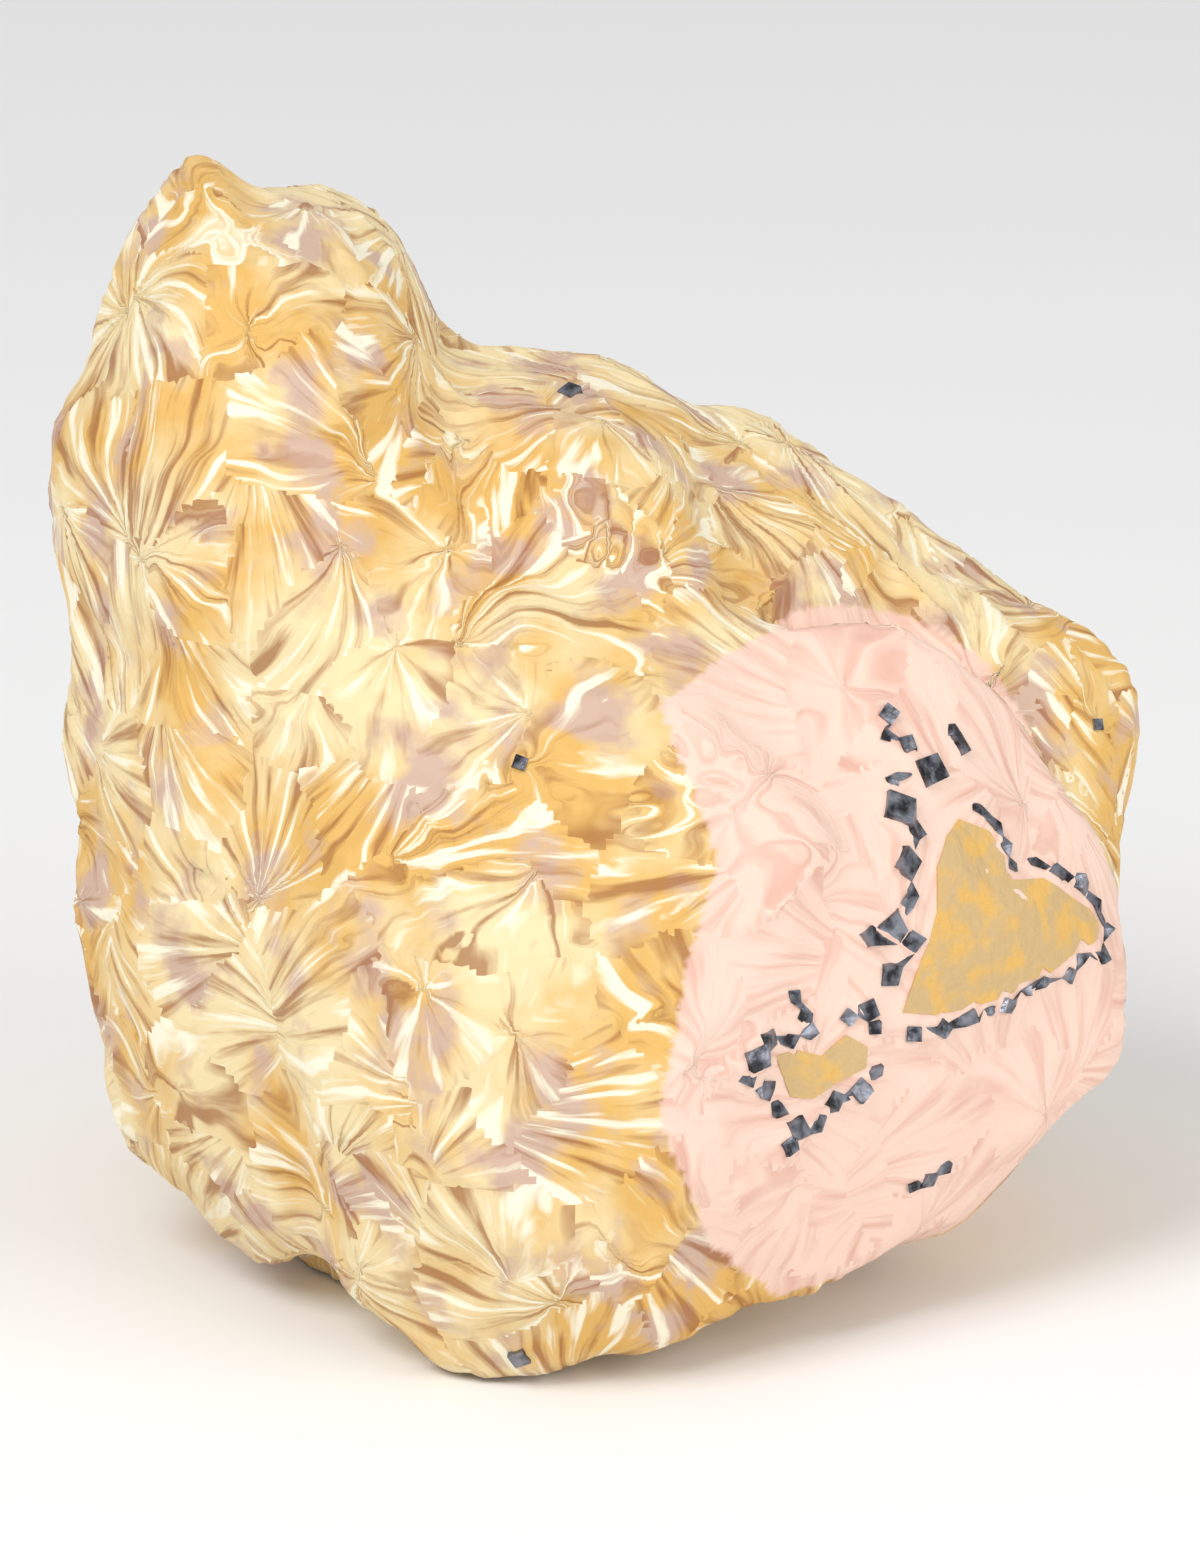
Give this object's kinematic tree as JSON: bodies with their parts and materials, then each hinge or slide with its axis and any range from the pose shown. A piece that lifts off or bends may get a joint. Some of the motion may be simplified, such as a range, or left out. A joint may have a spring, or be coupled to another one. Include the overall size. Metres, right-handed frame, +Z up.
{
  "type": "barite mineral specimen",
  "caption": "Lobed mineral specimen of bladed barite standing on its flat base, with a broken pale face that shows host rock rimmed by galena.",
  "frame": {"origin": "centre of the bounding box on the flat base, at the surface that the specimen stands on", "axes": "+Z up; +X to the viewer's right and -Y towards the viewer of the front, which shows the broken pale face at the right"},
  "size_m": [0.1119, 0.0998, 0.1096],
  "materials": {
    "barite": "bladed crystals, satin, stained cream to orange-brown, pale pink on the broken face",
    "galena": "dark grey metallic crystals with bright cleavage faces",
    "host_rock": "matt, granular, tan"
  },
  "bodies": {
    "root": {"barite_mass": "barite", "galena_vein": "galena", "galena_lens": "galena", "galena_arc": "galena", "galena_rim": "galena", "galena_loop": "galena", "galena_cap": "galena", "galena_spot": "galena", "galena_grain_top": "galena", "galena_grain_middle": "galena", "galena_grain_right": "galena", "galena_grain_foot": "galena", "host_rock_large": "host_rock", "host_rock_small": "host_rock"}
  },
  "joints": []
}
